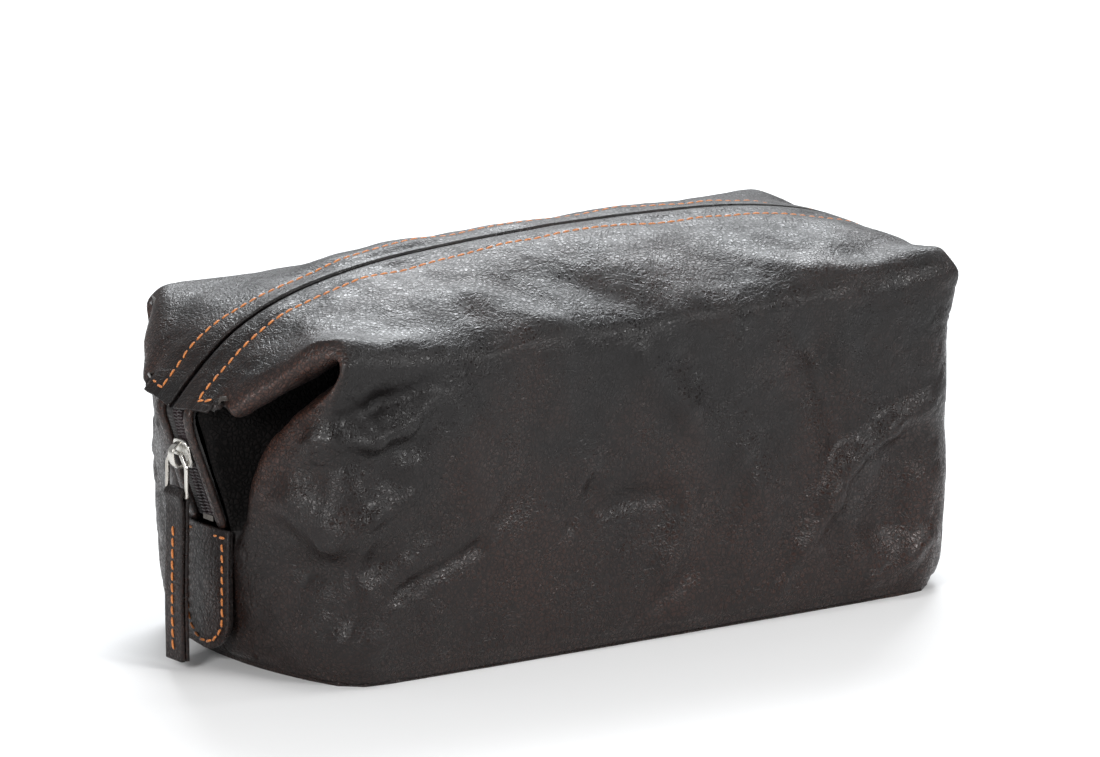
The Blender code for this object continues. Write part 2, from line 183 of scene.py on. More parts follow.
def top_reach(across):
    if across <= HEM_ACROSS:
        return 166.2 - 2.6 * (across / HEM_ACROSS)
    return 163.6 - 30.6 * (across - HEM_ACROSS) / (61.0 - HEM_ACROSS)


def top_row(across, swell, under=None):
    """A line of the top panel: out to the ridge and under it, or to the cut hem at the tip."""
    reach = top_reach(across)
    if under is None:
        alongs = [0, 40, 80, 108, 126, 140, 150, 156.5, 159.5, 162, reach - 1.6, reach]
        return [(x, across, top_height(x, across, swell)) for x in alongs]
    alongs = [0, 40, 80] + [80 + (reach - 80) * t for t in (0.42, 0.66, 0.80, 0.93)] + [reach]
    row = [(x, across, top_height(x, across, swell)) for x in alongs]
    row[-1] = (reach + 0.5, across + 0.3, row[-1][2] - 4.4)
    row[-2] = (row[-2][0] + 0.5, across, row[-2][2] + 0.3)
    return row + under


def spline(points, steps):
    """A smooth curve through points, or through whole rows of them, with steps[i] pieces in gap i.

    It is a centripetal Catmull-Rom spline.
    """
    points = np.asarray(points, float)
    padded = np.concatenate([2 * points[:1] - points[1:2], points, 2 * points[-1:] - points[-2:-1]])
    spans = np.linalg.norm(np.diff(padded, axis=0), axis=-1, keepdims=True)
    gaps = np.sqrt(np.maximum(spans, 1e-4))
    out = []
    for i, count in enumerate(steps):
        p0, p1, p2, p3 = padded[i : i + 4]
        g0, g1, g2 = gaps[i : i + 3]
        m1 = (p1 - p0) / g0 - (p2 - p0) / (g0 + g1) + (p2 - p1) / g1
        m2 = (p2 - p1) / g1 - (p3 - p1) / (g1 + g2) + (p3 - p2) / g2
        for k in range(count):
            t = k / count
            h00, h10 = 2 * t**3 - 3 * t**2 + 1, t**3 - 2 * t**2 + t
            h01, h11 = -2 * t**3 + 3 * t**2, t**3 - t**2
            out.append(h00 * p1 + h10 * g1 * m1 + h01 * p2 + h11 * g1 * m2)
    out.append(points[-1])
    return np.array(out)


def quarter_grid(swell):
    """(rows, columns, 3) points of one quarter of the leather, from the underside to the zip."""
    ear = np.array(EAR_ROW, float)
    ear[:8, 2] += 0.25 * swell * np.exp(-(((ear[:8, 0] - 134) / 15) ** 2))
    rows = WALL_ROWS + [ear.tolist()] + [top_row(a, swell, under) for a, under in RIDGE_ROWS]
    rows += [top_row(a, swell) for a in HEM_ROWS]
    columns = spline(np.swapaxes(np.array(rows, float), 0, 1), COLUMN_STEPS)
    return spline(np.swapaxes(columns, 0, 1), WALL_STEPS + TOP_STEPS)


def half_grid(side):
    """World points of the front (side -1) or back (side 1) leather; columns run from -X to +X."""
    near = quarter_grid(NEAR_FRONT_SWELL if side < 0 else 0.0)[:, ::-1] * np.array([-1, side, 1])
    far = quarter_grid(0.0)[:, 1:] * np.array([1, side, 1])
    return np.concatenate([near, far], axis=1)


def grid_normals(grid, side):
    down, along = np.gradient(grid, axis=0), np.gradient(grid, axis=1)
    normals = np.cross(along, down) * -side
    return normals / np.maximum(np.linalg.norm(normals, axis=2, keepdims=True), 1e-9)


# --- Wear, dents and creases ------------------------------------------------------------------
# Each is (from, to, height, width), a soft ridge along a line on the leather. A negative height is
# a valley.
FRONT_CREASES = [
    # Below the near ear: a valley, a sharp ridge under it, and the hollow below that.
    ((-133, -60, 100), (-118, -64, 104), -3.4, 4.5), ((-118, -64, 104), (-98, -64, 108), -2.6, 5.0),
    ((-137, -51, 92), (-122, -63, 92), 3.8, 4.5), ((-122, -64, 92), (-109, -64, 96), 4.4, 4.4),
    ((-109, -64, 96), (-97, -64, 105), 3.2, 4.0), ((-130, -62, 85), (-104, -64, 88), -2.2, 5.0),
    # The near corner's bulge, its streak and the hollow under it.
    ((-141, -43, 66), (-134, -57, 58), 5.0, 8.0), ((-136, -56, 53), (-122, -63, 63), 3.0, 3.2),
    ((-138, -50, 79), (-116, -64, 77), -2.2, 5.0),
    ((-122, -63, 63), (-106, -64, 69), 2.4, 3.2), ((-139, -47, 43), (-120, -64, 46), -3.4, 7.0),
    ((-120, -64, 46), (-98, -64, 56), -1.8, 6.0), ((-109, -64, 34), (-76, -64, 46), -2.0, 2.6),
    ((-76, -64, 46), (-59, -64, 63), -1.4, 3.6), ((-134, -57, 17), (-109, -64, 30), 2.2, 3.2),
    ((-131, -62, 12), (-117, -64, 17), 1.8, 6.0), ((-126, -63, 22), (-104, -64, 36), -1.2, 2.6),
    # The far end's bent ridge, the valley that meets its knee, and the hollow inside it.
    ((121, -64, 71), (104, -64, 65), 3.2, 5.0), ((104, -64, 65), (86, -64, 55), 4.0, 4.4),
    ((86, -64, 55), (78, -64, 42), 3.6, 4.4), ((78, -64, 42), (66, -64, 25), 2.8, 4.8),
    ((62, -64, 110), (73, -64, 96), -1.6, 8.0), ((73, -64, 96), (82, -64, 64), -2.6, 7.0),
    ((112, -64, 54), (101, -64, 30), -4.6, 10.0), ((122, -64, 22), (112, -64, 16), 2.4, 4.2),
    ((114, -64, 16), (97, -64, 8), 1.8, 3.6), ((80, -64, 30), (82, -64, 18), -2.2, 5.0),
    # Soft waves along the middle of the wall.
    ((-36, -64, 48), (-26, -64, 60), -1.8, 3.0), ((-26, -64, 60), (-18, -64, 72), -1.3, 3.6),
    ((-24, -64, 53), (4, -64, 54), -2.0, 4.0), ((17, -64, 50), (6, -64, 27), 2.2, 5.0),
    ((-6, -64, 10), (16, -64, 24), -1.6, 4.0), ((30, -64, 35), (42, -64, 60), -1.6, 3.6),
    ((40, -64, 64), (50, -64, 40), 1.6, 6.0), ((56, -64, 12), (64, -64, 26), 1.4, 3.0),
    ((-20, -64, 44), (16, -64, 40), -1.8, 18.0), ((-4, -64, 106), (14, -64, 84), 1.8, 6.0),
    ((14, -64, 104), (30, -64, 86), -1.6, 6.0), ((-62, -64, 60), (-50, -64, 84), -2.0, 11.0),
    ((-84, -64, 100), (-78, -64, 62), 1.6, 8.0), ((-36, -64, 112), (-46, -64, 84), 1.4, 8.0),
    # The top.
    ((96, -52, 126), (120, -44, 122), -1.8, 9.0), ((60, -50, 130), (92, -56, 124), 1.4, 8.0),
    ((-112, -50, 122), (-72, -60, 116), -2.2, 8.0), ((-60, -40, 134), (-40, -58, 122), 1.4, 8.0),
    ((-20, -44, 136), (0, -60, 122), -1.3, 9.0),
]
BACK_CREASES = [
    ((-116, 64, 100), (-78, 64, 92), -2.2, 5.0), ((-112, 64, 90), (-76, 64, 84), 2.0, 5.0),
    ((118, 64, 101), (84, 64, 94), -2.4, 5.0), ((114, 64, 91), (82, 64, 86), 1.8, 5.0),
    ((-92, 64, 50), (-130, 62, 66), 2.0, 5.0), ((-92, 64, 50), (-70, 64, 22), 1.8, 5.0),
    ((60, 64, 60), (96, 64, 34), 1.6, 6.0), ((20, 64, 50), (-24, 64, 58), -2.4, 22.0),
    ((88, 64, 14), (120, 63, 34), 1.4, 5.0), ((-40, 64, 88), (-14, 64, 64), 1.2, 8.0),
]


def along_line(points, start, stop, height, width):
    start, stop = np.array(start, float), np.array(stop, float)
    line = stop - start
    share = np.clip(((points - start) @ line) / (line @ line), 0, 1)
    distance = np.linalg.norm(points - start - share[..., None] * line, axis=-1)
    return height * np.exp(-((distance / width) ** 2))


def noise_field(points, size, seed, octaves=3):
    """Smooth noise of about -1 to 1 with lumps of that size in mm."""
    flat = points.reshape(-1, 3) / size + np.array([seed * 7.13, seed * 3.71, seed * 5.37])
    values = []
    for place in flat:
        value = noise.fractal(Vector(place), 0.9, 2.0, octaves, noise_basis="PERLIN_ORIGINAL")
        values.append(value)
    return np.array(values).reshape(points.shape[:-1])


def hem_factor(grid):
    """1 over most of the leather, 0 close to its edges and the floor, low near the zip's tip."""
    rows, columns = grid.shape[:2]
    row = np.arange(rows)[:, None] / (rows - 1)
    column = np.abs(np.linspace(-1, 1, columns))[None, :]
    edge = ease(row, 0.0, 0.05) * (1 - ease(row, 0.955, 0.985)) * (1 - ease(column, 0.90, 0.97))
    return edge * (1 - 0.8 * ease(np.abs(grid[..., 0]), 148, 158))


def crumple(grid, side, seed):
    """Displacement in mm along the outward normal."""
    upper = ease(grid[..., 2], 112, 122)
    lift = 2.1 * noise_field(grid, 60, seed) + (0.5 - 0.2 * upper) * noise_field(grid, 22, seed + 2)
    for crease in FRONT_CREASES if side < 0 else BACK_CREASES:
        lift = lift + along_line(grid, *crease)
    wrinkles = 1 - np.abs(noise_field(grid * np.array([1, 1, 1.25]), 15, seed + 5, 2)) * 2.6
    near_corner = ease(np.abs(grid[..., 0]), 70, 125) * (1 - ease(grid[..., 2], 104, 120))
    lift = lift - 0.7 * np.clip(wrinkles, 0, 1) ** 4 * (0.3 + 0.7 * near_corner) * (1 - 0.7 * upper)
    lift = lift + 0.10 * noise_field(grid, 7, seed + 8, 2)
    seam = -0.9 * np.exp(-(((grid[..., 2] - 4.0) / 0.9) ** 2)) * (np.abs(grid[..., 1]) > 16)
    return np.clip(lift, -5.5, 4.6) * hem_factor(grid) + seam


def stitch_groove(grid):
    """The leather sinks a little under the row of stitches beside the zip."""
    distance = np.abs(np.abs(grid[..., 1]) - STITCH_ACROSS)
    near_zip = ease(grid[..., 2], 96, 100) * (np.abs(grid[..., 1]) < 18)
    return -0.45 * np.exp(-((distance / 1.0) ** 2)) * near_zip


def pleat_shade_of(grid):
    """0 to 1: how deep inside the pleated end the leather is, which sets the painted shade there.
    """
    first, last = sum(COLUMN_STEPS[:8]) - 4, sum(COLUMN_STEPS[:9])
    column = np.abs(np.arange(grid.shape[1]) - grid.shape[1] // 2)[None, :]
    row = np.arange(grid.shape[0])[:, None]
    low, high = sum(WALL_STEPS[:4]), sum(WALL_STEPS) + sum(TOP_STEPS[:4])
    inside = ease(row, low - 4, low + 6) * (1 - ease(row, high - 2, high + 3))
    return ease(column, first, last) * inside


def wear_of(grid):
    """0 to 1: where the leather is folded tight and has rubbed to a redder brown."""
    columns = grid.shape[1]
    fold = sum(COLUMN_STEPS[:7])
    middle = columns // 2
    distance = np.abs(np.abs(np.arange(columns) - middle) - fold)[None, :]
    rows = np.arange(grid.shape[0])[:, None]
    ridge_end, hem = sum(WALL_STEPS) + sum(TOP_STEPS[:4]), sum(WALL_STEPS) + sum(TOP_STEPS[:6])
    above_corner = ease(rows, sum(WALL_STEPS[:4]), sum(WALL_STEPS[:7]))
    return np.exp(-((distance / 8.0) ** 2)) * above_corner * (1 - ease(rows, ridge_end, hem))


# --- Mesh helpers -----------------------------------------------------------------------------
def new_object(name, mesh, finish=None):
    made = bpy.data.objects.new(name, mesh)
    bpy.context.scene.collection.objects.link(made)
    if finish:
        mesh.materials.append(finish)
    return made


def grid_object(name, grid, side, finish):
    """A smooth mesh of a grid of points in mm, facing out of the bag."""
    rows, columns = grid.shape[:2]
    vertices = (grid.reshape(-1, 3) * MM).tolist()
    faces = []
    for i in range(rows - 1):
        for j in range(columns - 1):
            a = i * columns + j
            face = (a, a + 1, a + columns + 1, a + columns)
            faces.append(face if side < 0 else face[::-1])
    mesh = bpy.data.meshes.new(name)
    mesh.from_pydata(vertices, [], faces)
    mesh.shade_smooth()
    return new_object(name, mesh, finish)


def set_attribute(made, name, values):
    layer = made.data.attributes.new(name, "FLOAT", "POINT")
    layer.data.foreach_set("value", np.asarray(values, np.float32).ravel())


def thicken(made, thickness, offset=-1):
    shell = made.modifiers.new("Thickness", "SOLIDIFY")
    shell.thickness = thickness * MM
    shell.offset = offset
    shell.use_rim = True
    return shell


def sweep(name, path, frames, profile, finish):
    """A closed bar along a path in mm.

    frames holds its (across, out) unit vectors, and profile(t) its outline as (across, out) points.
    """
    build = bmesh.new()
    rings = []
    for i, (point, (across, out)) in enumerate(zip(path, frames)):
        shape = profile(i / (len(path) - 1))
        rings.append([build.verts.new((point + across * a + out * b) * MM) for a, b in shape])
    for lower, upper in zip(rings, rings[1:]):
        for j in range(len(lower)):
            k = (j + 1) % len(lower)
            build.faces.new((lower[j], lower[k], upper[k], upper[j]))
    build.faces.new(rings[0][::-1])
    build.faces.new(rings[-1])
    bmesh.ops.recalc_face_normals(build, faces=build.faces)
    mesh = bpy.data.meshes.new(name)
    build.to_mesh(mesh)
    build.free()
    mesh.shade_smooth()
    return new_object(name, mesh, finish)


def rounded(half_width, half_height, power=3.0, count=16):
    """Points of a rounded rectangle."""
    points = []
    for k in range(count):
        angle = 2 * math.pi * (k + 0.5) / count
        c, s = math.cos(angle), math.sin(angle)
        x = half_width * math.copysign(abs(c) ** (2 / power), c)
        y = half_height * math.copysign(abs(s) ** (2 / power), s)
        points.append((x, y))
    return points


def path_frames(path, across):
    """For each point of a path, the given direction across and the one square to both."""
    frames = []
    for i in range(len(path)):
        tangent = (path[min(i + 1, len(path) - 1)] - path[max(i - 1, 0)]).normalized()
        frames.append((across, tangent.cross(across).normalized()))
    return frames


def resample(path, pitch, start=0.0):
    """(point, tangent) at every pitch along a path."""
    found, walked, target = [], 0.0, start
    for a, b in zip(path, path[1:]):
        length = (b - a).length
        while target <= walked + length and length > 1e-9:
            found.append((a.lerp(b, (target - walked) / length), (b - a).normalized()))
            target += pitch
        walked += length
    return found


def many(name, shapes, finish):
    """One mesh from many copies: shapes is a list of (vertices in mm, faces)."""
    vertices, faces = [], []
    for points, polygons in shapes:
        base = len(vertices)
        vertices.extend(p * MM for p in points)
        faces.extend(tuple(base + k for k in polygon) for polygon in polygons)
    mesh = bpy.data.meshes.new(name)
    mesh.from_pydata(vertices, [], faces)
    mesh.shade_smooth()
    return new_object(name, mesh, finish)


def bead(centre, along, up, rings, sides, flat):
    """A little solid round the line along, flattened by flat. rings holds (position, radius)."""
    third = along.cross(up).normalized()
    points, faces = [], []
    for position, radius in rings:
        for k in range(sides):
            angle = 2 * math.pi * k / sides
            around = third * (radius * math.cos(angle)) + up * (radius * flat * math.sin(angle))
            points.append(centre + along * position + around)
    for i in range(len(rings) - 1):
        for k in range(sides):
            n = (k + 1) % sides
            faces.append((i * sides + k, i * sides + n, (i + 1) * sides + n, (i + 1) * sides + k))
    faces.append(tuple(range(sides - 1, -1, -1)))
    faces.append(tuple(range((len(rings) - 1) * sides, len(rings) * sides)))
    return points, faces


# A stitch's thickness along its half length, both as shares.
STITCH_RINGS = [(-1, 0.35), (-0.86, 0.8), (-0.4, 1), (0.4, 1), (0.86, 0.8), (1, 0.35)]


def stitches(name, path, outs, seed, pitch=4.2, length=3.5):
    """Separate stitches along a path in mm. outs gives the way out at each of its points."""
    chance = random.Random(seed)
    radius, sink = 0.5, 0.10
    lookup = list(zip(path, outs))
    shapes = []
    for point, tangent in resample(path, pitch, pitch * 0.5):
        out = min(lookup, key=lambda item: (item[0] - point).length_squared)[1]
        out = (out - tangent * out.dot(tangent)).normalized()
        turn = Matrix.Rotation(math.radians(chance.uniform(5, 13)), 3, out)
        along = turn @ tangent
        size = length * chance.uniform(0.92, 1.05) / 2
        centre = point + out * (radius * 0.55 - sink)
        rings = [(size * share, radius * thickness) for share, thickness in STITCH_RINGS]
        points, faces = bead(centre, along, out, rings, 8, 0.85)
        # The ends of a stitch dive into its holes.
        bent = []
        for vertex in points:
            share = abs((vertex - centre).dot(along)) / size
            bent.append(vertex - out * (0.55 * radius * share**4))
        shapes.append((bent, faces))
    return many(name, shapes, THREAD)


def plate(name, outlines, thickness, edge, finish, resolution=3):
    """A plate with rounded edges in its own XY plane, from outlines in mm. The second is a hole."""
    data = bpy.data.curves.new(name, "CURVE")
    data.dimensions = "2D"
    data.fill_mode = "BOTH"
    data.extrude = (thickness / 2 - edge) * MM
    data.bevel_depth = edge * MM
    data.offset = -edge * MM
    data.bevel_resolution = resolution
    for outline in outlines:
        spline = data.splines.new("POLY")
        spline.points.add(len(outline) - 1)
        for point, (x, y) in zip(spline.points, outline):
            point.co = (x * MM, y * MM, 0, 1)
        spline.use_cyclic_u = True
    made = bpy.data.objects.new(name, data)
    bpy.context.scene.collection.objects.link(made)
    data.materials.append(finish)
    return made


def stand(made, origin, across, upward):
    x, y = Vector(across).normalized(), Vector(upward).normalized()
    made.rotation_euler = Matrix((x, y, x.cross(y))).transposed().to_euler()
    made.location = Vector(origin) * MM


def to_mesh(made):
    """Turns a curve into a mesh in world space, so that it can be edited."""
    bpy.context.view_layer.update()
    graph = bpy.context.evaluated_depsgraph_get()
    mesh = bpy.data.meshes.new_from_object(made.evaluated_get(graph), depsgraph=graph)
    mesh.transform(made.matrix_world)
    solid = new_object(made.name + "_mesh", mesh)
    bpy.data.objects.remove(made)
    return solid


def arc(centre, radius, start, stop, steps):
    points = []
    for k in range(steps + 1):
        angle = math.radians(start + (stop - start) * k / steps)
        points.append((centre[0] + radius * math.cos(angle), centre[1] + radius * math.sin(angle)))
    return points


def softened(outline, radius):
    """The outline with its corners rounded off."""
    points = []
    steps = 5
    count = len(outline)
    for i in range(count):
        before, here, after = (Vector(outline[j % count]) for j in (i - 1, i, i + 1))
        a = here + (before - here).normalized() * min(radius, (before - here).length / 2)
        b = here + (after - here).normalized() * min(radius, (after - here).length / 2)
        for k in range(steps + 1):
            t = k / steps
            p = a * (1 - t) ** 2 + here * 2 * t * (1 - t) + b * t**2
            points.append((p.x, p.y))
    return points


# --- Finishes ---------------------------------------------------------------------------------
class Finish:
    """A material made of procedural nodes."""

    def __init__(self, name, colour, roughness, metallic=0.0):
        self.made = bpy.data.materials.new(name)
        self.made.use_nodes = True
        self.tree = self.made.node_tree
        self.shader = self.tree.nodes["Principled BSDF"]
        self.shader.inputs["Base Color"].default_value = (*colour, 1.0)
        self.shader.inputs["Roughness"].default_value = roughness
        self.shader.inputs["Metallic"].default_value = metallic
        self.coordinates = self.tree.nodes.new("ShaderNodeTexCoord").outputs["Object"]

    def set(self, socket, value):
        if isinstance(value, bpy.types.NodeSocket):
            self.tree.links.new(value, socket)
        elif value is not None:
            socket.default_value = value

    def noise(self, scale, detail=3.0, roughness=0.5, distortion=0.0):
        node = self.tree.nodes.new("ShaderNodeTexNoise")
        node.inputs["Scale"].default_value = scale
        node.inputs["Detail"].default_value = detail
        node.inputs["Roughness"].default_value = roughness
        node.inputs["Distortion"].default_value = distortion
        self.set(node.inputs["Vector"], self.coordinates)
        return node.outputs["Fac"]

    def cells(self, scale, vector):
        """The distance to the edges of a pattern of cells."""
        node = self.tree.nodes.new("ShaderNodeTexVoronoi")
        node.feature = "DISTANCE_TO_EDGE"
        node.inputs["Scale"].default_value = scale
        self.set(node.inputs["Vector"], vector)
        return node.outputs["Distance"]

    def maths(self, operation, a, b=None, c=None):
        node = self.tree.nodes.new("ShaderNodeMath")
        node.operation = operation
        for socket, value in zip(node.inputs, (a, b, c)):
            self.set(socket, value)
        return node.outputs["Value"]

    def remap(self, value, low, high, to_low=0.0, to_high=1.0):
        node = self.tree.nodes.new("ShaderNodeMapRange")
        node.interpolation_type = "SMOOTHSTEP"
        limits = {"From Min": low, "From Max": high, "To Min": to_low, "To Max": to_high}
        for name, number in limits.items():
            node.inputs[name].default_value = number
        self.set(node.inputs["Value"], value)
        return node.outputs["Result"]

    def mix(self, share, a, b):
        node = self.tree.nodes.new("ShaderNodeMix")
        node.data_type = "RGBA"
        self.set(node.inputs["Factor"], share)
        for socket, colour in ((node.inputs[6], a), (node.inputs[7], b)):
            self.set(socket, (*colour, 1.0) if isinstance(colour, tuple) else colour)
        return node.outputs[2]

    def warped(self, scale, amount):
        """The coordinates pushed about by noise, in metres."""
        node = self.tree.nodes.new("ShaderNodeTexNoise")
        node.inputs["Scale"].default_value = scale
        self.set(node.inputs["Vector"], self.coordinates)
        shift = self.tree.nodes.new("ShaderNodeVectorMath")
        shift.operation = "MULTIPLY_ADD"
        self.set(shift.inputs[0], node.outputs["Color"])
        shift.inputs[1].default_value = (amount,) * 3
        self.set(shift.inputs[2], self.coordinates)
        return shift.outputs["Vector"]

    def attribute(self, name):
        node = self.tree.nodes.new("ShaderNodeAttribute")
        node.attribute_name = name
        return node.outputs["Fac"]

    def bump(self, height, distance, strength=1.0, normal=None):
        node = self.tree.nodes.new("ShaderNodeBump")
        node.inputs["Strength"].default_value = strength
        node.inputs["Distance"].default_value = distance
        self.set(node.inputs["Height"], height)
        self.set(node.inputs["Normal"], normal)
        return node.outputs["Normal"]

    def finish(self, **sockets):
        for name, value in sockets.items():
            self.set(self.shader.inputs[name.replace("_", " ")], value)
        return self.made


def leather_finish(name, grain=1.0, warm=0.0):
    """Dark brown hide: pebbled grain, fine crackle, soft wrinkles, redder where it is worn, and
    painted shade in the grain's valleys and deep in the pleats.
    """
    f = Finish(name, (0.03, 0.02, 0.017), 0.4)
    moved = f.warped(230, 0.0020)
    patch = f.noise(24, 3, 0.55)
    pebbles = f.remap(f.cells(560, moved), 0.0, 0.30)
    fine = f.remap(f.cells(1250, moved), 0.0, 0.36)
    hide = f.maths("MULTIPLY_ADD", fine, 0.55, pebbles)
    stretch = f.noise(150, 5, 0.62, distortion=1.1)
    crackle = f.remap(f.maths("ABSOLUTE", f.maths("SUBTRACT", stretch, 0.5)), 0.0, 0.045)
    lines = f.noise(62, 4, 0.6, distortion=1.6)
    wrinkle = f.remap(f.maths("ABSOLUTE", f.maths("SUBTRACT", lines, 0.5)), 0.0, 0.05)
    worn = f.attribute("wear")
    brown = f.mix(f.remap(patch, 0.42, 0.66), (0.0055, 0.0043, 0.0042), (0.021, 0.0100, 0.0074))
    place = f.tree.nodes.new("ShaderNodeSeparateXYZ")
    f.set(place.inputs[0], f.coordinates)
    near_floor = f.remap(place.outputs["Z"], 0.11, 0.0, 0.0, 0.8)
    brown = f.mix(f.maths("MULTIPLY", near_floor, f.noise(11, 3)), brown, (0.052, 0.021, 0.014))
    redder = f.maths("ADD", f.maths("MULTIPLY", worn, 0.9), warm)
    brown = f.mix(redder, brown, (0.078, 0.036, 0.026))
    # Painted shade: the grain's valleys are darkened towards near black, standing in for the shade
    # that the bumps don't cast.
    painted_grain_shade = f.maths("SUBTRACT", 1.55, hide)
    colour = f.mix(f.maths("MULTIPLY", painted_grain_shade, 0.62), brown, (0.004, 0.003, 0.003))
    # Painted shade: deep inside the pleats the colour is darkened to near black.
    colour = f.mix(f.attribute("pleat"), colour, (0.0030, 0.0025, 0.0025))
    soft = f.bump(f.noise(42, 3, 0.4, distortion=0.4), 0.0026, 0.7)
    wrinkled = f.bump(wrinkle, 0.00014, 0.7, soft)
    creased = f.bump(crackle, 0.00003, 0.7, wrinkled)
    grained = f.bump(hide, 0.000065 * grain, 1.0, creased)
    skin = f.bump(f.noise(2600, 3, 0.6), 0.00003, 0.6, grained)
    rubbed = f.remap(f.noise(60, 3), 0.3, 0.7, 0.21, 0.33)
    dull = f.maths("MULTIPLY_ADD", f.maths("SUBTRACT", 1.0, pebbles), 0.22, rubbed)
    dull = f.maths("MULTIPLY_ADD", f.attribute("pleat"), 0.4, dull)
    return f.finish(Base_Color=colour, Roughness=dull, Normal=skin, Specular_IOR_Level=0.34)


def pleat_shade_finish():
    """The same hide inside the pleats, with painted shade: near black, and dull."""
    f = Finish("leather_in_pleat_painted_shade", (0.004, 0.0035, 0.0035), 0.75)
    pebbles = f.remap(f.cells(560, f.warped(230, 0.0020)), 0.0, 0.30)
    colour = f.mix(pebbles, (0.0012, 0.0010, 0.0010), (0.0065, 0.0052, 0.0050))
    dull = f.remap(f.noise(90, 3), 0.3, 0.7, 0.66, 0.85)
    normal = f.bump(pebbles, 0.0002)
    return f.finish(Base_Color=colour, Roughness=dull, Normal=normal, Specular_IOR_Level=0.12)


def cloth_finish(name, colour, scale):
    """Woven cloth."""
    f = Finish(name, colour, 0.9)
    waves = []
    for axis in ("X", "Y"):
        node = f.tree.nodes.new("ShaderNodeTexWave")
        node.bands_direction = axis
        node.inputs["Scale"].default_value = scale
        node.inputs["Distortion"].default_value = 0.6
        f.set(node.inputs["Vector"], f.coordinates)
        waves.append(node.outputs["Fac"])
    weave = f.maths("MULTIPLY", waves[0], waves[1])
    shade = f.mix(weave, tuple(0.55 * c for c in colour), tuple(1.4 * c for c in colour))
    normal = f.bump(f.maths("ADD", weave, f.maths("MULTIPLY", f.noise(1200), 0.3)), 0.0002, 0.6)
    return f.finish(Base_Color=shade, Normal=normal, Sheen_Weight=0.25)


def nickel_finish(name, bright, dim):
    """Plated metal with rubbed and duller patches."""
    f = Finish(name, bright, 0.22, 1.0)
    rub = f.noise(420, 4, 0.6)
    tone = f.mix(f.remap(f.noise(90, 3), 0.35, 0.75), bright, dim)
    dull = f.remap(rub, 0.3, 0.7, 0.14, 0.34)
    return f.finish(Base_Color=tone, Roughness=dull, Normal=f.bump(rub, 0.00005, 0.35))


def thread_finish():
    f = Finish("orange_thread", (0.62, 0.20, 0.045), 0.55)
    strands = f.noise(1500, 2, 0.5, distortion=2.0)
    colour = f.mix(f.remap(strands, 0.3, 0.7), (0.36, 0.095, 0.016), (0.74, 0.26, 0.055))
    return f.finish(Base_Color=colour, Normal=f.bump(strands, 0.0002, 0.8), Sheen_Weight=0.15)


def nylon_finish():
    f = Finish("zip_coil", (0.018, 0.012, 0.012), 0.3)
    colour = f.mix(f.noise(500), (0.010, 0.007, 0.008), (0.034, 0.020, 0.022))
    return f.finish(Base_Color=colour, Roughness=f.remap(f.noise(900), 0.3, 0.7, 0.22, 0.42))


HIDE = leather_finish("brown_leather")
PLEAT_SHADE_HIDE = pleat_shade_finish()
ROLLED_HIDE = leather_finish("rolled_leather", 0.8, 0.45)
LINING = cloth_finish("lining_cloth", (0.050, 0.040, 0.034), 700)
TAPE = cloth_finish("zip_tape", (0.012, 0.0095, 0.0095), 900)
COIL = nylon_finish()
NICKEL = nickel_finish("nickel", (0.70, 0.68, 0.64), (0.45, 0.42, 0.38))
DARK_METAL = nickel_finish("dark_nickel", (0.10, 0.09, 0.08), (0.05, 0.045, 0.04))
THREAD = thread_finish()


def half_name(side):
    return "front" if side < 0 else "back"


def end_name(end):
    return "near" if end < 0 else "far"


def bend(made):
    """Bakes the piece's placement into its mesh."""
    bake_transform(made)


def build_leather(side, seed):
    """One hide from the underside's edge, over the shoulder to the zip, with both pleated ends."""
    name = half_name(side)
    plain = half_grid(side)
    normals = grid_normals(plain, side)
    grid = plain + normals * (crumple(plain, side, seed) + stitch_groove(plain))[..., None]
    hide = grid_object(f"{name}_leather", grid, side, HIDE)
    set_attribute(hide, "wear", wear_of(plain))
    # Deep inside the pleats the leather gets painted shade: a darker colour and a near-black
    # material.
    pleat = pleat_shade_of(plain)
    set_attribute(hide, "pleat", pleat)
    hide.data.materials.append(PLEAT_SHADE_HIDE)
    deep = pleat.ravel() > 0.55
    for face in hide.data.polygons:
        face.material_index = int(all(deep[v] for v in face.vertices))
    thicken(hide, 1.7)
    bend(hide)
    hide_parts(f"{name}_panel", f"{name}_top_panel")
    # The cloth inside follows the leather, more coarsely.
    inner = (grid - normals * 3.6)[2:-6:3, 8:-8:3]
    cloth = grid_object(f"{name}_cloth", inner, side, LINING)
    thicken(cloth, 0.5)
    bend(cloth)
    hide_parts(f"{name}_lining", f"{name}_top_lining")
    return grid


halves = {side: build_leather(side, seed) for side, seed in ((-1, 1), (1, 4))}
for node in ("base_panel", "base_lining"):
    shown = frame["nodes"][node]
    shown.data.materials.clear()
    shown.data.materials.append(HIDE if node == "base_panel" else LINING)


# --- Zip --------------------------------------------------------------------------------------
def end_line(depth=0.0):
    """(along, up) points of the zip's face on an end, from under the top panel down to the tab."""
    line = spline(END_ZIP, [5] * (len(END_ZIP) - 1))
    return offset_line(line, depth)


def offset_line(line, depth):
    step = np.gradient(line, axis=0)
    normal = np.stack([-step[:, 1], step[:, 0]], axis=1)
    return line - normal / np.linalg.norm(normal, axis=1, keepdims=True) * depth


def zip_line(end, depth=2.7):
    """World points in mm from the middle of the top, over the tip, down to the tab."""
    points = [point for point in CREST if point[0] < 150]
    top = offset_line(spline(points, [4] * (len(points) - 1)), depth)
    whole = np.concatenate([top, end_line()[1:]])
    return [Vector((end * x, 0, z)) for x, z in whole]


COIL_PITCH = 1.36
# A point inside the bag, which tells the outward side of the zip.
MIDDLE = Vector((0, 0, 60))
# A tooth's radius at distances from the zip's middle line.
TOOTH_RINGS = [(-0.55, 0.25), (-0.35, 0.52), (0.5, 0.60), (1.6, 0.58), (2.5, 0.62), (2.9, 0.4)]


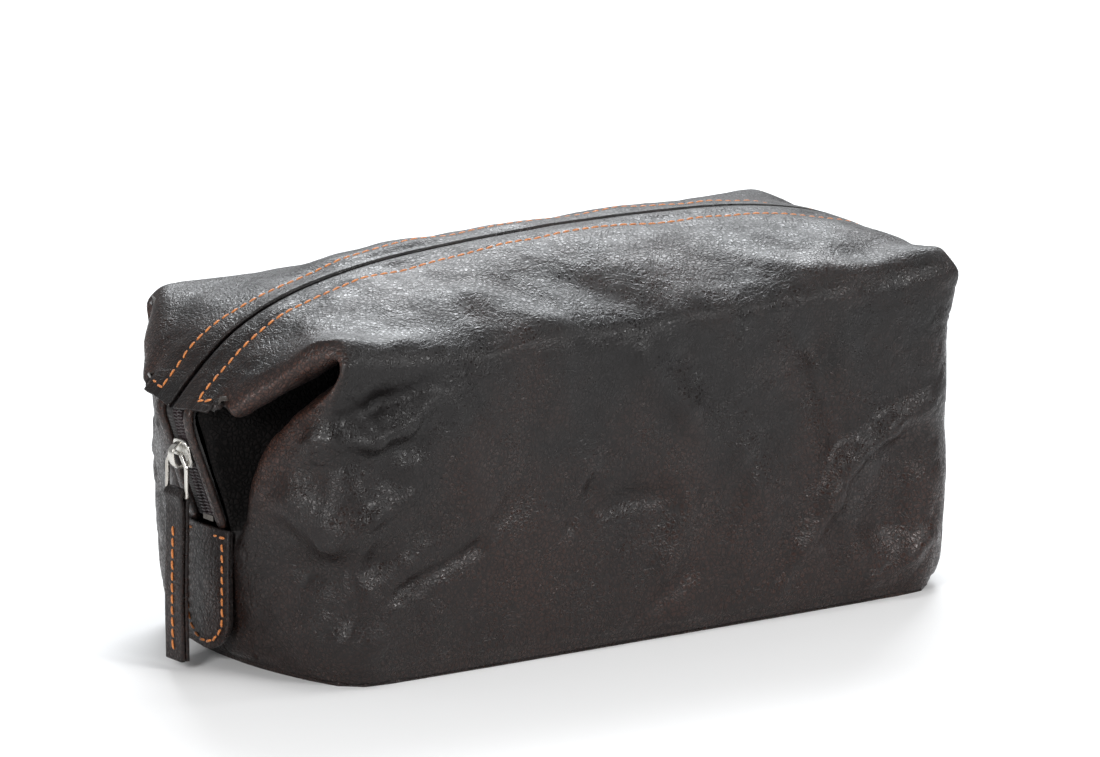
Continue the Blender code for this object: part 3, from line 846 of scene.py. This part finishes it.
def build_coil(side, end):
    """The coil's teeth, one solid loop each, on one side of the zip from mid-bag to one tab."""
    half, label = half_name(side), end_name(end)
    path = zip_line(end)
    shapes = []
    stop = sum((b - a).length for a, b in zip(path, path[1:])) - 1.5
    across = Vector((0, side, 0))
    # The teeth of the two sides lie between each other.
    first = COIL_PITCH * (0.25 if side < 0 else 0.75)
    for k, (point, tangent) in enumerate(resample(path, COIL_PITCH, first)):
        if k * COIL_PITCH > stop:
            break
        out = tangent.cross(across).normalized()
        out = out if out.dot(point - MIDDLE) > 0 else -out
        # Below the slider the two sides stand a little apart.
        gap = 0.75 * float(ease(78 - point.z, 0, 12)) if end < 0 and abs(point.x) > 140 else 0.0
        centre = point - out * 0.9
        rings = [(gap + reach, radius) for reach, radius in TOOTH_RINGS]
        shapes.append(bead(centre, across, out, rings, 7, 1.35))
    teeth = many(f"{label}_{half}_teeth", shapes, COIL)
    bend(teeth)
    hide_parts(f"{half}_zip_coil", f"{label}_zip_coil_{half}")


# The tape's distance from the zip's middle line, and how deep it lies under the face.
TAPE_PROFILE = [(0.15, 1.9), (3.2, 1.7), (4.2, 0.9), (7.0, 0.9), (10.2, 1.0)]


def build_tape(side, end):
    """The woven tape on one side of the zip, from mid-bag to one tab."""
    half, label = half_name(side), end_name(end)
    path = zip_line(end, 3.3)
    rows = []
    for across, sink in TAPE_PROFILE:
        line = []
        for i, point in enumerate(path):
            tangent = path[min(i + 1, len(path) - 1)] - path[max(i - 1, 0)]
            out = Vector((-tangent.z, 0, tangent.x)).normalized() * end
            share = 1.0 if point.z < 100 else 0.45
            line.append(point - out * sink * share + Vector((0, side * across, 0)))
        rows.append(line)
    grid = np.array([[list(p) for p in row] for row in rows])
    tape = grid_object(f"{label}_{half}_tape", grid, side * end, TAPE)
    thicken(tape, 0.6, 0)
    bend(tape)
    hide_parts(f"{half}_zip_tape", f"{label}_zip_tape_{half}")


def build_strip(side, end):
    """The folded leather strip beside the zip on an end, from under the tip down to the tab."""
    half, label = half_name(side), end_name(end)
    line = [Vector((end * x, 0, z)) for x, z in end_line(-0.7)[9:]]
    line = [p + Vector((0, side * (8.3 + 0.5 * math.sin(i * 0.35)), 0)) for i, p in enumerate(line)]
    last = len(line) - 1
    line = [p + Vector((end * -1.2, 0, -1.5)) * (i / last) ** 3 for i, p in enumerate(line)]
    frames = path_frames(line, Vector((0, 1, 0)))

    def outline(t):
        return rounded(2.1 + 0.4 * t, 1.25 + 0.15 * math.sin(9 * t), 2.6)

    strip = sweep(f"{label}_{half}_strip", line, frames, outline, ROLLED_HIDE)
    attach(strip, "body")
    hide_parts(f"{label}_zip_strip_{half}")


for side in (-1, 1):
    for end in (-1, 1):
        build_coil(side, end)
        build_tape(side, end)
        build_strip(side, end)


# --- Tabs -------------------------------------------------------------------------------------
def tab_outline(inset=0.0, top=52.0, half=14.0, foot=6.0):
    radius = half - inset
    points = [(-radius, top - inset), (radius, top - inset)]
    return points + arc((0, foot + half), radius, 0, -180, 22)


def warp_tab(point, end):
    """The tab lies on the end's slight bulge instead of being flat."""
    x, y, z = point
    tilt = 0.9 if z < 30 else 0.36
    sink = 0.0072 * y * y + tilt * ((z - 30) / 24) ** 2
    return Vector((x - end * sink, y, z))


def cut(build, place, square_to):
    """Cuts the mesh along a plane, so that it has vertices there to bend at."""
    geometry = build.verts[:] + build.edges[:] + build.faces[:]
    bmesh.ops.bisect_plane(build, geom=geometry, plane_co=place, plane_no=square_to)


def build_tab(end):
    label = end_name(end)
    for suffix, depth, edge, inset in (("tab", 0.75, 0.5, 0.0), ("tab_backing", 2.2, 0.4, 0.5)):
        flat = plate(f"{label}_{suffix}_leather", [tab_outline(inset)], 1.45, edge, HIDE)
        stand(flat, (end * (152.3 - depth), 0, 0), (0, end, 0), (0, 0, 1))
        solid = to_mesh(flat)
        build = bmesh.new()
        build.from_mesh(solid.data)
        for k in range(1, 12):
            cut(build, (0, 0, 0.052 * k / 12), (0, 0, 1))
        for k in range(-4, 5):
            cut(build, (0, 0.0028 * k, 0), (0, 1, 0))
        for vertex in build.verts:
            vertex.co = warp_tab(vertex.co / MM, end) * MM
        build.to_mesh(solid.data)
        build.free()
        solid.data.materials.clear()
        solid.data.materials.append(HIDE)
        solid.data.shade_smooth()
        solid.data.set_sharp_from_angle(angle=math.radians(50))
        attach(solid, "body")
        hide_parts(f"{label}_{suffix}")
    seam = tab_outline(2.9)
    seam = seam + [seam[0]]
    path = [warp_tab((end * 152.35, end * y, z), end) for y, z in seam]
    dense = [path[0]]
    for a, b in zip(path, path[1:]):
        count = max(1, int((b - a).length / 1.5))
        dense += [a.lerp(b, k / count) for k in range(1, count + 1)]
    outs = [Vector((end, 0, 0))] * len(dense)
    thread = stitches(f"{label}_tab_thread", dense, outs, 11 + end, 4.0, 3.0)
    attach(thread, "body")
    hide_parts(f"{label}_tab_stitching")


for end in (-1, 1):
    build_tab(end)


# --- Stitching beside the zip -----------------------------------------------------------------
def build_zip_stitching(side):
    """A row on the displaced leather beside the slit, turned outward along the hem at both tips."""
    grid = halves[side]
    first = sum(WALL_STEPS) + sum(TOP_STEPS[:4])
    top = grid[first:]
    path = []
    hem_from = HEM_ACROSS - 1.2
    for j in range(grid.shape[1]):
        column = top[::-1, j]
        if abs(column[0, 0]) > 162.6:
            continue
        x, z = (float(np.interp(STITCH_ACROSS, np.abs(column[:, 1]), column[:, k])) for k in (0, 2))
        path.append(Vector((x, side * STITCH_ACROSS, z)))
    for end in (-1, 1):
        start = path[0] if end < 0 else path[-1]
        reach = top_reach(hem_from) - 3.0
        edge = Vector((end * reach, side * hem_from, top_height(reach, hem_from)))
        turn = [start.lerp(edge, t) for t in (0.35, 0.7, 1.0)]
        path = turn[::-1] + path if end < 0 else path + turn
    outs = []
    for point in path:
        before, after = (top_height(point.x + step, STITCH_ACROSS) for step in (-1, 1))
        outs.append(Vector(((before - after) / 2, side * 0.06, 1)).normalized())
    thread = stitches(f"{half_name(side)}_zip_thread", path, outs, 3 + side)
    bend(thread)
    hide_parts(f"{half_name(side)}_zip_stitching")


for side in (-1, 1):
    build_zip_stitching(side)


# --- Slider, puller and strap -----------------------------------------------------------------
def joint_place(name):
    joint = next(j for j in frame["record"]["behaviour"]["joints"] if j["name"] == name)
    return Vector(joint.get("pos_m", (0, 0, 0))) / MM, Vector(joint["axis"])


def slider_frame():
    """The slider's middle on the zip's face, the way up the zip, and the way out of it, in mm."""
    climb = joint_place("slider_slide")[1].normalized()
    away = Vector((-climb.z, 0, climb.x))
    low, high = (Vector(c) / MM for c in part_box("slider_body"))
    middle = (low + high) / 2
    face = Vector((-END_ZIP[5][0], 0, END_ZIP[5][1]))
    return face + climb * (middle - face).dot(climb), climb, away


def metal_piece(made, body, *nodes):
    solid = to_mesh(made)
    solid.data.materials.clear()
    solid.data.materials.append(NICKEL)
    solid.data.shade_smooth()
    solid.data.set_sharp_from_angle(angle=math.radians(40))
    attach(solid, body)
    if nodes:
        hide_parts(*nodes)
    return solid


def sweep_metal(name, face, climb, away, points, outline):
    """A bar of the slider. points are (up the zip, out of it, across it) from its face."""
    line = [face + climb * u + away * o + Vector((0, w, 0)) for u, o, w in points]
    bar = sweep(name, line, path_frames(line, Vector((0, 1, 0))), outline, NICKEL)
    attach(bar, "slider")
    return bar


# Half the slider's outline as (across the zip, up it), from its narrow foot to its wide head.
SHIELD = [(3.1, -5.6), (3.7, -1.5), (4.9, 3.2), (3.6, 5.6), (0.9, 5.9)]
# One turned-in edge and the bridge, as (up the zip, out of it, across it).
LIP = [(-5.2, 1.0, 3.0), (-3.0, 0.95, 3.3), (-0.5, 0.95, 3.7), (2.0, 1.0, 4.4), (3.6, 1.05, 4.6)]
BRIDGE = [
    (-4.6, 1.6, 0), (-4.5, 3.6, 0), (-3.6, 5.6, 0), (-2.0, 6.5, 0), (0.0, 6.7, 0),
    (2.0, 6.5, 0), (3.6, 5.6, 0), (4.5, 3.6, 0), (4.6, 1.6, 0),
]


def mirrored(half):
    """A whole outline from its right half."""
    return half + [(-x, y) for x, y in half[::-1]]


def build_slider():
    face, climb, away = slider_frame()
    shield = softened(mirrored(SHIELD), 1.6)
    for out, thickness, nodes in ((1.15, 1.3, ("slider_body",)), (-3.5, 1.1, ())):
        cover = plate("slider_plate", [shield], thickness, 0.5, NICKEL)
        stand(cover, face + away * out, (0, -1, 0), climb)
        metal_piece(cover, "slider", *nodes)
    for side in (-1, 1):
        # The edges of the top plate are turned in over the coil.
        points = [(u, o, side * w) for u, o, w in LIP]
        sweep_metal("slider_lip", face, climb, away, points, lambda t: rounded(0.55, 0.7, 3, 12))
    foot = softened(mirrored([(0.45, -3.2), (0.45, 1.0)]), 0.3)
    post = plate("slider_post", [foot], 4.0, 0.2, NICKEL)
    stand(post, face + climb * 2.6, (0, -1, 0), away)
    metal_piece(post, "slider")

    # The bridge is a bent strip that narrows to its feet.
    def strip(t):
        return rounded(1.75 - 0.45 * abs(2 * t - 1), 0.5, 4, 16)

    points = spline(BRIDGE, [4] * (len(BRIDGE) - 1))
    bridge = sweep_metal("slider_arch", face, climb, away, points, strip)
    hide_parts("slider_bridge")


def build_puller():
    hinge, _ = joint_place("puller_hinge")
    pin, _ = joint_place("strap_hinge")
    low = pin.z - hinge.z
    outer = mirrored([(3.6, 0.75), (7.0, -4.4), (7.0, low - 0.8)])
    inner = mirrored([(2.7, -0.75), (5.35, -4.9), (5.5, low + 0.7)])
    outlines = [softened(outer, 1.2), softened(inner, 1.0)]
    puller = plate("puller_bar", outlines, 1.4, 0.5, NICKEL, 4)
    stand(puller, hinge, (0, -1, 0), (0, 0, 1))
    metal_piece(puller, "puller", "puller")


STRAP_HALF_WIDTH = 5.35
# Half the distance between the middles of the strap's two layers.
STRAP_APART = 0.98
# The strap hangs in a slight wave: its height as a share of its length, and how far it sags out.
STRAP_SAG = [
    (0, 0), (0.12, -0.12), (0.3, -0.35), (0.5, -0.3), (0.7, -0.05), (0.84, 0.15), (0.93, 0.1),
]


def strap_line():
    """The strap's middle line in mm: up the front, over the puller's bar, and down behind."""
    pin, _ = joint_place("strap_hinge")
    low, _ = (Vector(c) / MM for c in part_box("pull_strap"))
    down = low.z - pin.z + 0.2
    front = [(sag - STRAP_APART, down * (1 - height)) for height, sag in STRAP_SAG]
    loop = arc((0, 0), 1.75, 205, -25, 10)
    back = [(sag + STRAP_APART, down * (1 - height)) for height, sag in STRAP_SAG[::-1]]
    points = front + loop + back
    return [Vector((pin.x + x, 0, pin.z + z)) for x, z in spline(points, [4] * (len(points) - 1))]


def build_strap():
    line = strap_line()
    frames = path_frames(line, Vector((0, 1, 0)))
    outline = rounded(STRAP_HALF_WIDTH, 0.88, 7, 28)
    strap = sweep("strap_leather", line, frames, lambda t: outline, HIDE)
    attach(strap, "strap")
    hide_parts("pull_strap")
    pin, _ = joint_place("strap_hinge")
    outer_layer = [p for p in line if p.x < pin.x and 6 < p.z < pin.z - 8.5]
    seam = [p + Vector((-0.9, 0, 0)) for p in outer_layer]
    thread = stitches("strap_thread", seam, [Vector((-1, 0, 0))] * len(seam), 23)
    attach(thread, "strap")
    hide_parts("strap_stitching")


build_slider()
build_puller()
build_strap()
for label in ("near", "far"):
    stop = frame["nodes"][f"{label}_zip_stop"]
    stop.data.materials.clear()
    stop.data.materials.append(DARK_METAL)


# --- Floor, light and camera ------------------------------------------------------------------
def build_floor():
    mesh = bpy.data.meshes.new("studio_floor")
    mesh.from_pydata([(-10, -10, 0), (10, -10, 0), (10, 10, 0), (-10, 10, 0)], [], [(0, 1, 2, 3)])
    f = Finish("studio_floor", (0.85, 0.85, 0.85), 0.6)
    new_object("studio_floor", mesh, f.finish())


def build_world():
    """A studio that is bright behind and above the bag, and dark where the camera stands."""
    world = bpy.data.worlds.new("studio")
    world.use_nodes = True
    bpy.context.scene.world = world
    nodes, links = world.node_tree.nodes, world.node_tree.links
    direction = nodes.new("ShaderNodeSeparateXYZ")
    links.new(nodes.new("ShaderNodeTexCoord").outputs["Generated"], direction.inputs[0])
    upward = nodes.new("ShaderNodeMath")
    upward.operation = "MULTIPLY_ADD"
    links.new(direction.outputs["Z"], upward.inputs[0])
    upward.inputs[1].default_value = 0.35
    links.new(direction.outputs["Y"], upward.inputs[2])
    bright = nodes.new("ShaderNodeMapRange")
    bright.interpolation_type = "SMOOTHSTEP"
    for name, value in (("From Min", -0.4), ("From Max", 0.6), ("To Min", 0.08), ("To Max", 0.42)):
        bright.inputs[name].default_value = value
    links.new(upward.outputs["Value"], bright.inputs["Value"])
    links.new(bright.outputs["Result"], nodes["Background"].inputs["Strength"])
    nodes["Background"].inputs["Color"].default_value = (0.97, 0.985, 1.0, 1.0)


def soft_light(name, place, aim, size, watts, colour=(1.0, 1.0, 1.0)):
    data = bpy.data.lights.new(name, "AREA")
    data.shape = "RECTANGLE"
    data.size, data.size_y = size
    data.energy = watts
    data.color = colour
    made = bpy.data.objects.new(name, data)
    bpy.context.scene.collection.objects.link(made)
    made.location = place
    made.rotation_euler = (Vector(place) - Vector(aim)).to_track_quat("Z", "Y").to_euler()


def build_camera():
    """A long lens at the photograph's angle, left of the front and a little above."""
    left, up, distance = math.radians(-34.5), math.radians(13.9), 8.0
    aim = Vector((-0.0009, 0, 0.0847))
    width_seen = 0.3987
    away = Vector((math.sin(left) * math.cos(up), -math.cos(left) * math.cos(up), math.sin(up)))
    data = bpy.data.cameras.new("camera")
    data.sensor_width = 36
    data.lens = data.sensor_width * distance / width_seen
    data.clip_end = 50
    made = bpy.data.objects.new("camera", data)
    bpy.context.scene.collection.objects.link(made)
    made.location = aim + away * distance
    made.rotation_euler = away.to_track_quat("Z", "Y").to_euler()
    bpy.context.scene.camera = made


build_floor()
build_world()
soft_light("behind", (0.55, 0.75, 0.85), (0, 0, 0.1), (0.8, 0.5), 15, (0.94, 0.97, 1.0))
soft_light("overhead", (0.0, -0.25, 1.6), (0, -0.25, 0.0), (0.4, 0.4), 6)
soft_light("left", (-1.0, -0.5, 0.48), (-0.05, -0.05, 0.08), (0.3, 0.3), 8)
soft_light("front", (0.35, -1.05, 0.62), (0, -0.05, 0.06), (0.35, 0.3), 8)
soft_light("right", (1.2, -0.4, 0.8), (0.1, -0.06, 0.06), (0.25, 0.3), 3)
build_camera()
bpy.context.scene.view_settings.view_transform = "Standard"
